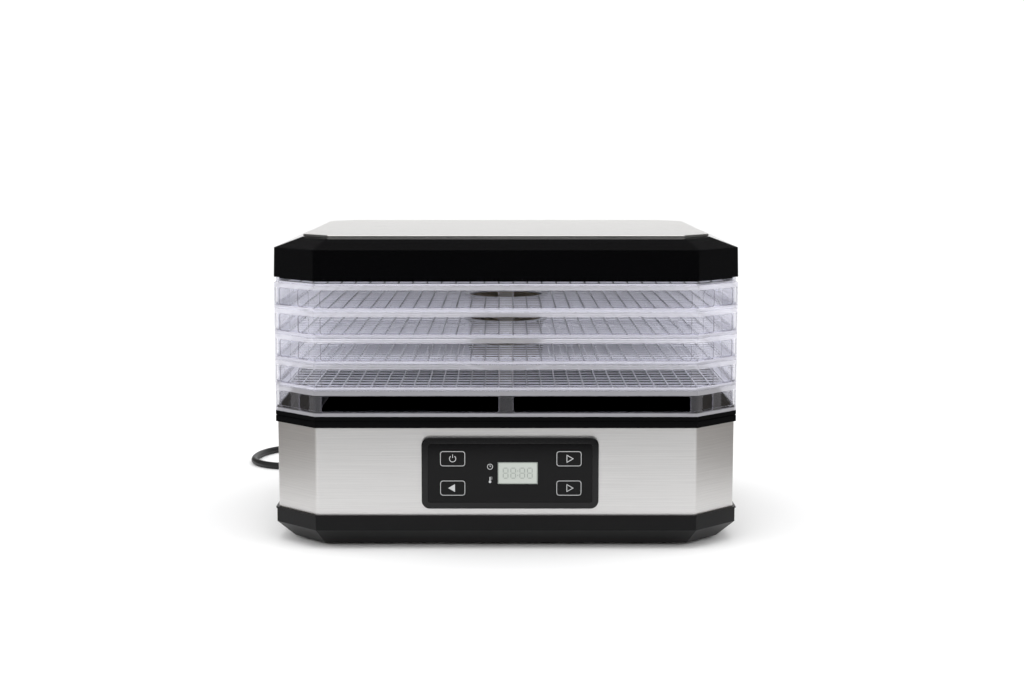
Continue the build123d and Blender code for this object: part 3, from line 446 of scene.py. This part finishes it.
def ring_arc(radius, line, facing, turn):
    """Flat arc of a ring, spun from one short edge, with its middle facing a given way."""
    deselect()
    bpy.ops.mesh.primitive_plane_add(size=line)
    shape = bpy.context.object
    bpy.ops.object.mode_set(mode="EDIT")
    bpy.ops.mesh.select_all(action="DESELECT")
    mesh = bmesh.from_edit_mesh(shape.data)
    mesh.verts.ensure_lookup_table()
    for vertex in mesh.verts:
        vertex.select = vertex.co.y < 0
    bmesh.update_edit_mesh(shape.data)
    bpy.ops.mesh.delete(type="VERT")
    bpy.ops.mesh.select_all(action="SELECT")
    bpy.ops.transform.translate(value=(radius, -line / 2, 0))
    bpy.ops.mesh.spin(steps=32, angle=turn, center=(0, 0, 0), axis=(0, 0, 1))
    bpy.ops.mesh.select_all(action="SELECT")
    bpy.ops.mesh.remove_doubles(threshold=0.005 * MM)
    bpy.ops.object.mode_set(mode="OBJECT")
    middle = sum((vertex.co for vertex in shape.data.vertices), Vector()) / len(shape.data.vertices)
    shape.rotation_euler = (0, 0, facing - atan2(middle.y, middle.x))
    bpy.ops.object.transform_apply(location=False, rotation=True, scale=False)
    return shape


def stroke(size, centre=(0, 0), turn=0.0):
    """Flat bar with rounded ends."""
    deselect()
    bpy.ops.mesh.primitive_plane_add(size=1)
    shape = bpy.context.object
    shape.scale = (size[0], size[1], 1)
    bpy.ops.object.transform_apply(location=False, rotation=False, scale=True)
    bpy.ops.object.mode_set(mode="EDIT")
    bpy.ops.mesh.select_all(action="SELECT")
    bpy.ops.mesh.bevel(offset=min(size) * 0.45, segments=4, affect="VERTICES")
    bpy.ops.object.mode_set(mode="OBJECT")
    shape.rotation_euler = (0, 0, turn)
    shape.location = (centre[0], centre[1], 0)
    bpy.ops.object.transform_apply(location=True, rotation=True, scale=False)
    return shape


def disc(radius, centre):
    """Flat round spot."""
    deselect()
    bpy.ops.mesh.primitive_circle_add(vertices=24, radius=radius, fill_type="NGON",
                                      location=(centre[0], centre[1], 0))
    bpy.ops.object.transform_apply(location=True, rotation=False, scale=False)
    return bpy.context.object


def printed(name, shapes, centre, body, made):
    """Join flat shapes, stand them up facing forwards at their place, and give them thickness."""
    deselect()
    for shape in shapes:
        shape.select_set(True)
    bpy.context.view_layer.objects.active = shapes[0]
    bpy.ops.object.join()
    mark = bpy.context.object
    mark.name = name
    mark.rotation_euler = (pi / 2, 0, 0)
    mark.location = centre
    bpy.ops.object.transform_apply(location=True, rotation=True, scale=False)
    bpy.ops.object.mode_set(mode="EDIT")
    bpy.ops.mesh.select_all(action="SELECT")
    bpy.ops.mesh.normals_make_consistent(inside=False)
    bpy.ops.object.mode_set(mode="OBJECT")
    if mark.data.polygons[0].normal.y > 0:
        mark.data.flip_normals()
    thicken = mark.modifiers.new("ink", "SOLIDIFY")
    thicken.thickness = ink_height
    thicken.offset = 1
    bpy.ops.object.modifier_apply(modifier="ink")
    mark.data.materials.clear()
    mark.data.materials.append(made)
    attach(mark, body)
    return mark


key_marks = {
    "key_power": lambda: [ring_arc(2.3 * MM, symbol_line, -pi / 2, radians(290)),
                          stroke((symbol_line, 2.6 * MM), (0, 1.9 * MM))],
    "key_down": lambda: [arrow_head(3.3 * MM, -1)],
    "key_up": lambda: [arrow_head(3.5 * MM, 1, symbol_line)],
    "key_timer": lambda: [arrow_head(3.5 * MM, 1, symbol_line)],
}
for key, draw in key_marks.items():
    low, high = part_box(key)
    centre = ((low.x + high.x) / 2, low.y - ink_gap, (low.z + high.z) / 2)
    size = (high.x - low.x - outline_margin, high.z - low.z - outline_margin)
    printed(f"{key}_print", [rounded_outline(size, 2.0 * MM, ink_line)] + draw(), centre, key,
            print_ink)

overlay_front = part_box("control_overlay")[0].y - ink_gap
display_low, display_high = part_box("display_window")
icon_x = display_low.x - 5.6 * MM
clock_centre = (icon_x, overlay_front, display_high.z - 3.2 * MM)
clock = [ring_arc(1.9 * MM, 0.4 * MM, 0.0, 2 * pi),
         stroke((0.4 * MM, 1.4 * MM), (0, 0.55 * MM)),
         stroke((1.1 * MM, 0.4 * MM), (0.4 * MM, 0))]
printed("clock_print", clock, clock_centre, "base", print_ink)
thermometer = [disc(0.95 * MM, (0, -1.7 * MM)), stroke((0.8 * MM, 3.6 * MM), (0, 0.2 * MM))]
thermometer += [stroke((0.8 * MM, 0.3 * MM), (1.2 * MM, mark * MM)) for mark in (0.2, 1.0, 1.8)]
thermometer_centre = (icon_x, overlay_front, display_low.z + 3.4 * MM)
printed("thermometer_print", thermometer, thermometer_centre, "base", print_ink)

# ------------------------------------------------------------------ display
# Reflective liquid crystal glass, grey-green when off, with four faint resting digits.
crystal_glass, tree, shader = new_material("liquid_crystal_glass", {
    "Base Color": colour("b7bcb6"), "Roughness": 0.2, "Specular IOR Level": 0.35})
drift = moulded_texture(tree, shader, 0.4 * MM, 0.004 * MM, 0.18, 0.24)[1]
tone = add_node(tree, "ShaderNodeMix", {"A": colour("b1b6b0"), "B": colour("bec3bd")},
                {"Factor": drift.outputs["Fac"]}, data_type="RGBA")
tree.links.new(tone.outputs["Result"], shader.inputs["Base Color"])
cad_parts["display_window"].material_slots[0].material = crystal_glass
resting_segment, tree, shader = new_material("resting_crystal_segment", {
    "Base Color": colour("8e958f"), "Roughness": 0.3})
moulded_texture(tree, shader, 0.5 * MM, 0.004 * MM, 0.25, 0.35)
digit_width = 3.4 * MM
digit_height = 7.4 * MM
digit_pitch = 5.5 * MM
segment = 0.75 * MM
bars = []
for count in (-1.5, -0.5, 0.5, 1.5):
    middle = count * digit_pitch + (0.5 * MM if count > 0 else -0.5 * MM)
    for level in (-1, 0, 1):
        bars.append(stroke((digit_width - segment, segment * 0.9), (middle, level * digit_height / 2)))
    for side in (-1, 1):
        for level in (-1, 1):
            bars.append(stroke((segment * 0.9, digit_height / 2 - segment),
                               (middle + side * digit_width / 2, level * digit_height / 4)))
bars += [disc(0.45 * MM, (0, level * 1.6 * MM)) for level in (-1, 1)]
display_centre = ((display_low.x + display_high.x) / 2, display_low.y - ink_gap,
                  (display_low.z + display_high.z) / 2)
printed("display_digits", bars, display_centre, "base", resting_segment)
border_size = (display_high.x - display_low.x - 0.2 * MM, display_high.z - display_low.z - 0.2 * MM)
printed("display_border", [rounded_outline(border_size, 0.8 * MM, 0.5 * MM)], display_centre, "base",
        resting_segment)

# ------------------------------------------------------------------ clear trays
# Injection moulded clear styrene. The recessed panes are polished and show what is behind
# them; the bands and posts between them keep a frosted skin from the mould.
# The sloped walls round the panes carry painted shade, a darker grey along their edges.
tray_low, tray_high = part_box("tray_5_frame")
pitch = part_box("tray_4_frame")[0].z - tray_low.z
corner_leg = 32.0 * MM
skin_depth = 0.1 * MM
pane_depth = 0.7 * MM    # a little less than the panes are recessed
slope_span = (pane_depth - skin_depth) * 2 ** 0.5
pane_bottom = 2.4 * MM
pane_top = 15.3 * MM


def step_over(tree, value, limit):
    """1 where a value is over a limit, and 0 elsewhere."""
    over = add_node(tree, "ShaderNodeMath", {1: limit}, {0: value}, operation="GREATER_THAN")
    return over.outputs[0]


def combined(tree, operation, first, second):
    """Two values joined by one sum."""
    return add_node(tree, "ShaderNodeMath", links={0: first, 1: second}, operation=operation).outputs[0]


def frost_and_shade_masks(tree, place):
    """Frost on the outer skin, full on the bands and light on the posts, and painted shade on the panes'
    slopes.
    """
    apart = add_node(tree, "ShaderNodeVectorMath", links={0: place}, operation="ABSOLUTE")
    sides = add_node(tree, "ShaderNodeSeparateXYZ", links={"Vector": apart.outputs["Vector"]})
    across = combined(tree, "ADD", sides.outputs["X"], sides.outputs["Y"])
    skin = combined(tree, "MAXIMUM", step_over(tree, sides.outputs["X"], tray_high.x - skin_depth),
                    step_over(tree, sides.outputs["Y"], tray_high.y - skin_depth))
    facet = tray_high.x + tray_high.y - corner_leg - skin_depth * 2 ** 0.5
    skin = combined(tree, "MAXIMUM", skin, step_over(tree, across, facet))
    # The slope round each pane is painted darker and more opaque: painted shade for the dark lines that
    # clear plastic shows along its edges
    shaded_slope = combined(tree, "MAXIMUM", step_over(tree, sides.outputs["X"], tray_high.x - pane_depth),
                     step_over(tree, sides.outputs["Y"], tray_high.y - pane_depth))
    shaded_slope = combined(tree, "MAXIMUM", shaded_slope, step_over(tree, across, facet - slope_span))
    shaded_slope = combined(tree, "SUBTRACT", shaded_slope, skin)
    above = add_node(tree, "ShaderNodeMath", {1: tray_low.z}, {0: sides.outputs["Z"]}, operation="SUBTRACT")
    local = add_node(tree, "ShaderNodeMath", {1: pitch}, {0: above.outputs[0]},
                     operation="FLOORED_MODULO").outputs[0]
    under = add_node(tree, "ShaderNodeMath", {1: pane_bottom}, {0: local}, operation="LESS_THAN").outputs[0]
    band = combined(tree, "MAXIMUM", under, step_over(tree, local, pane_top))
    amount = add_node(tree, "ShaderNodeMapRange", {"To Min": 0.05, "To Max": 0.32}, {"Value": band})
    skin = combined(tree, "MULTIPLY", skin, amount.outputs["Result"])
    # Painted shade: the slopes take most of the grey shader
    edge = add_node(tree, "ShaderNodeMath", {1: 0.6}, {0: shaded_slope}, operation="MULTIPLY").outputs[0]
    return combined(tree, "MAXIMUM", skin, edge), shaded_slope


clear_styrene, tree, shader = new_material("clear_styrene", {
    "Base Color": colour("d9d7e2"), "Roughness": 0.25, "Specular IOR Level": 0.5})
place = moulded_texture(tree, shader, 1.6 * MM, 0.16 * MM, 0.12, 0.28)[0]
glimpse = add_node(tree, "ShaderNodeBsdfTransparent", {"Color": colour("fcfcff")})
shine = add_node(tree, "ShaderNodeBsdfGlossy", {"Color": colour("ffffff"), "Roughness": 0.04})
edge_on = add_node(tree, "ShaderNodeLayerWeight", {"Blend": 0.5}).outputs["Facing"]
grazing = add_node(tree, "ShaderNodeMath", {1: 5.0}, {0: edge_on}, operation="POWER")
gloss = add_node(tree, "ShaderNodeMath", {1: 0.85, 2: 0.045}, {0: grazing.outputs[0]},
                 operation="MULTIPLY_ADD")
polished = add_node(tree, "ShaderNodeMixShader", links={
    0: gloss.outputs[0], 1: glimpse.outputs["BSDF"], 2: shine.outputs["BSDF"]})
frost_and_slope_shade, shaded_slope = frost_and_shade_masks(tree, place)
# Painted shade: the slopes get a dark grey base colour instead of the pale frost tone
frost_tone_and_slope_shade = add_node(tree, "ShaderNodeMix", {"A": colour("f0eff6"), "B": colour("83818c")},
                {"Factor": shaded_slope}, data_type="RGBA")
tree.links.new(frost_tone_and_slope_shade.outputs["Result"], shader.inputs["Base Color"])
moulding = add_node(tree, "ShaderNodeMixShader", links={
    0: frost_and_slope_shade, 1: polished.outputs["Shader"], 2: shader.outputs["BSDF"]})
tree.links.new(moulding.outputs["Shader"], tree.nodes["Material Output"].inputs["Surface"])


def let_light_through(tree, shader):
    """Clear plastic shades what is behind it very little: shadow rays pass straight through."""
    ray = add_node(tree, "ShaderNodeLightPath")
    free = add_node(tree, "ShaderNodeBsdfTransparent", {"Color": colour("f2f1f6")})
    mixed = add_node(tree, "ShaderNodeMixShader", links={
        0: ray.outputs["Is Shadow Ray"], 1: shader.outputs["BSDF"], 2: free.outputs["BSDF"]})
    tree.links.new(mixed.outputs["Shader"], tree.nodes["Material Output"].inputs["Surface"])


# The mesh floor is the same clear styrene, painted white: painted glints for the light that the many small
# edges of its bars catch
painted_glint_styrene, tree, shader = new_material("painted_glint_styrene", {
    "Base Color": colour("fbfbfe"), "IOR": 1.45, "Roughness": 0.3})
moulded_texture(tree, shader, 1.2 * MM, 0.03 * MM, 0.18, 0.32)
# The collar is thicker and draws a faint warm tint from its length
warm_styrene, tree, shader = new_material("warm_clear_styrene", {
    "Base Color": colour("a89c86"), "IOR": 1.45, "Transmission Weight": 0.2, "Roughness": 0.25})
moulded_texture(tree, shader, 6.0 * MM, 0.05 * MM, 0.14, 0.28)
let_light_through(tree, shader)
for number in range(1, 6):
    soften(f"tray_{number}_frame", f"tray_{number}", clear_styrene, 0.25 * MM)
    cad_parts[f"tray_{number}_mesh"].material_slots[0].material = painted_glint_styrene
    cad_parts[f"tray_{number}_collar"].material_slots[0].material = warm_styrene

# ------------------------------------------------------------------ lid panel
# Thin stainless sheet with a turned edge, brushed from side to side, clipped to the lid.
top_steel, tree, shader = new_material("brushed_top_sheet", {
    "Base Color": colour("e2e0dd"), "Metallic": 1.0, "Roughness": 0.28})
brushed_lines(tree, shader, (70 * MM, brush_line, brush_line), ("d6d4d1", "f1f0ee"), (0.22, 0.36), 0.2)
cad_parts["lid_panel"].material_slots[0].material = top_steel

# ------------------------------------------------------------------ strain relief and plug
# Soft PVC boot with flex grooves at the back, and a moulded plug with nickel plated pins.
soft_pvc, tree, shader = new_material("moulded_soft_pvc", {
    "Base Color": colour("151516"), "Roughness": 0.5})
moulded_texture(tree, shader, 0.7 * MM, 0.03 * MM, 0.44, 0.56)
boot = soften("strain_relief", "base", soft_pvc, 0.4 * MM)
plug = soften("plug_body", "base", soft_pvc, 0.8 * MM, 3)
nickel, tree, shader = new_material("nickel_plated_brass", {
    "Base Color": colour("d5d0c4"), "Metallic": 1.0, "Roughness": 0.22})
moulded_texture(tree, shader, 0.8 * MM, 0.01 * MM, 0.18, 0.28)
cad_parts["plug_pins"].material_slots[0].material = nickel

# ------------------------------------------------------------------ fan, heater and electrics
# The works inside the base, each in its own stock: plated steel, glass-filled nylon, mica,
# resistance wire, circuit board laminate, and moulded component cases.
works = {
    "zinc_plated_steel": ("c9c8c2", 1.0, 0.32, 1.5, ("base_screws", "board_screws", "bracket_screws",
                                                     "motor_screws", "motor_bracket", "motor_shaft",
                                                     "panel_clips")),
    "drawn_steel_can": ("a8a8a6", 1.0, 0.38, 2.0, ("fan_motor",)),
    "glass_filled_nylon": ("8c877c", 0.0, 0.55, 0.8, ("impeller",)),
    "pressed_mica": ("b8a27c", 0.0, 0.6, 3.0, ("heater_frame",)),
    "resistance_wire": ("7d766f", 1.0, 0.45, 0.6, ("heater_coil",)),
    "moulded_component_case": ("17171a", 0.0, 0.5, 0.6, ("capacitor", "heater_relay", "thermostat",
                                                         "terminal_block", "key_switches")),
    "taped_winding": ("c79a2c", 0.0, 0.5, 2.5, ("transformer",)),
    "satin_aluminium": ("bdb9ae", 1.0, 0.35, 0.8, ("thermal_fuse", "temperature_sensor")),
    "board_laminate": ("1d4a2b", 0.0, 0.35, 1.2, ("power_board", "control_board")),
    "display_housing": ("8d8e89", 0.0, 0.5, 0.8, ("display_module",)),
    "matt_black_abs": ("121213", 0.0, 0.5, 0.7, ("air_duct", "outlet_guard")),
}
for name, (code, metal, rough_value, grain, nodes) in works.items():
    made, tree, shader = new_material(name, {
        "Base Color": colour(code), "Metallic": metal, "Roughness": rough_value})
    moulded_texture(tree, shader, grain * MM, 0.03 * MM, rough_value - 0.06, rough_value + 0.08)
    for node in nodes:
        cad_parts[node].material_slots[0].material = made
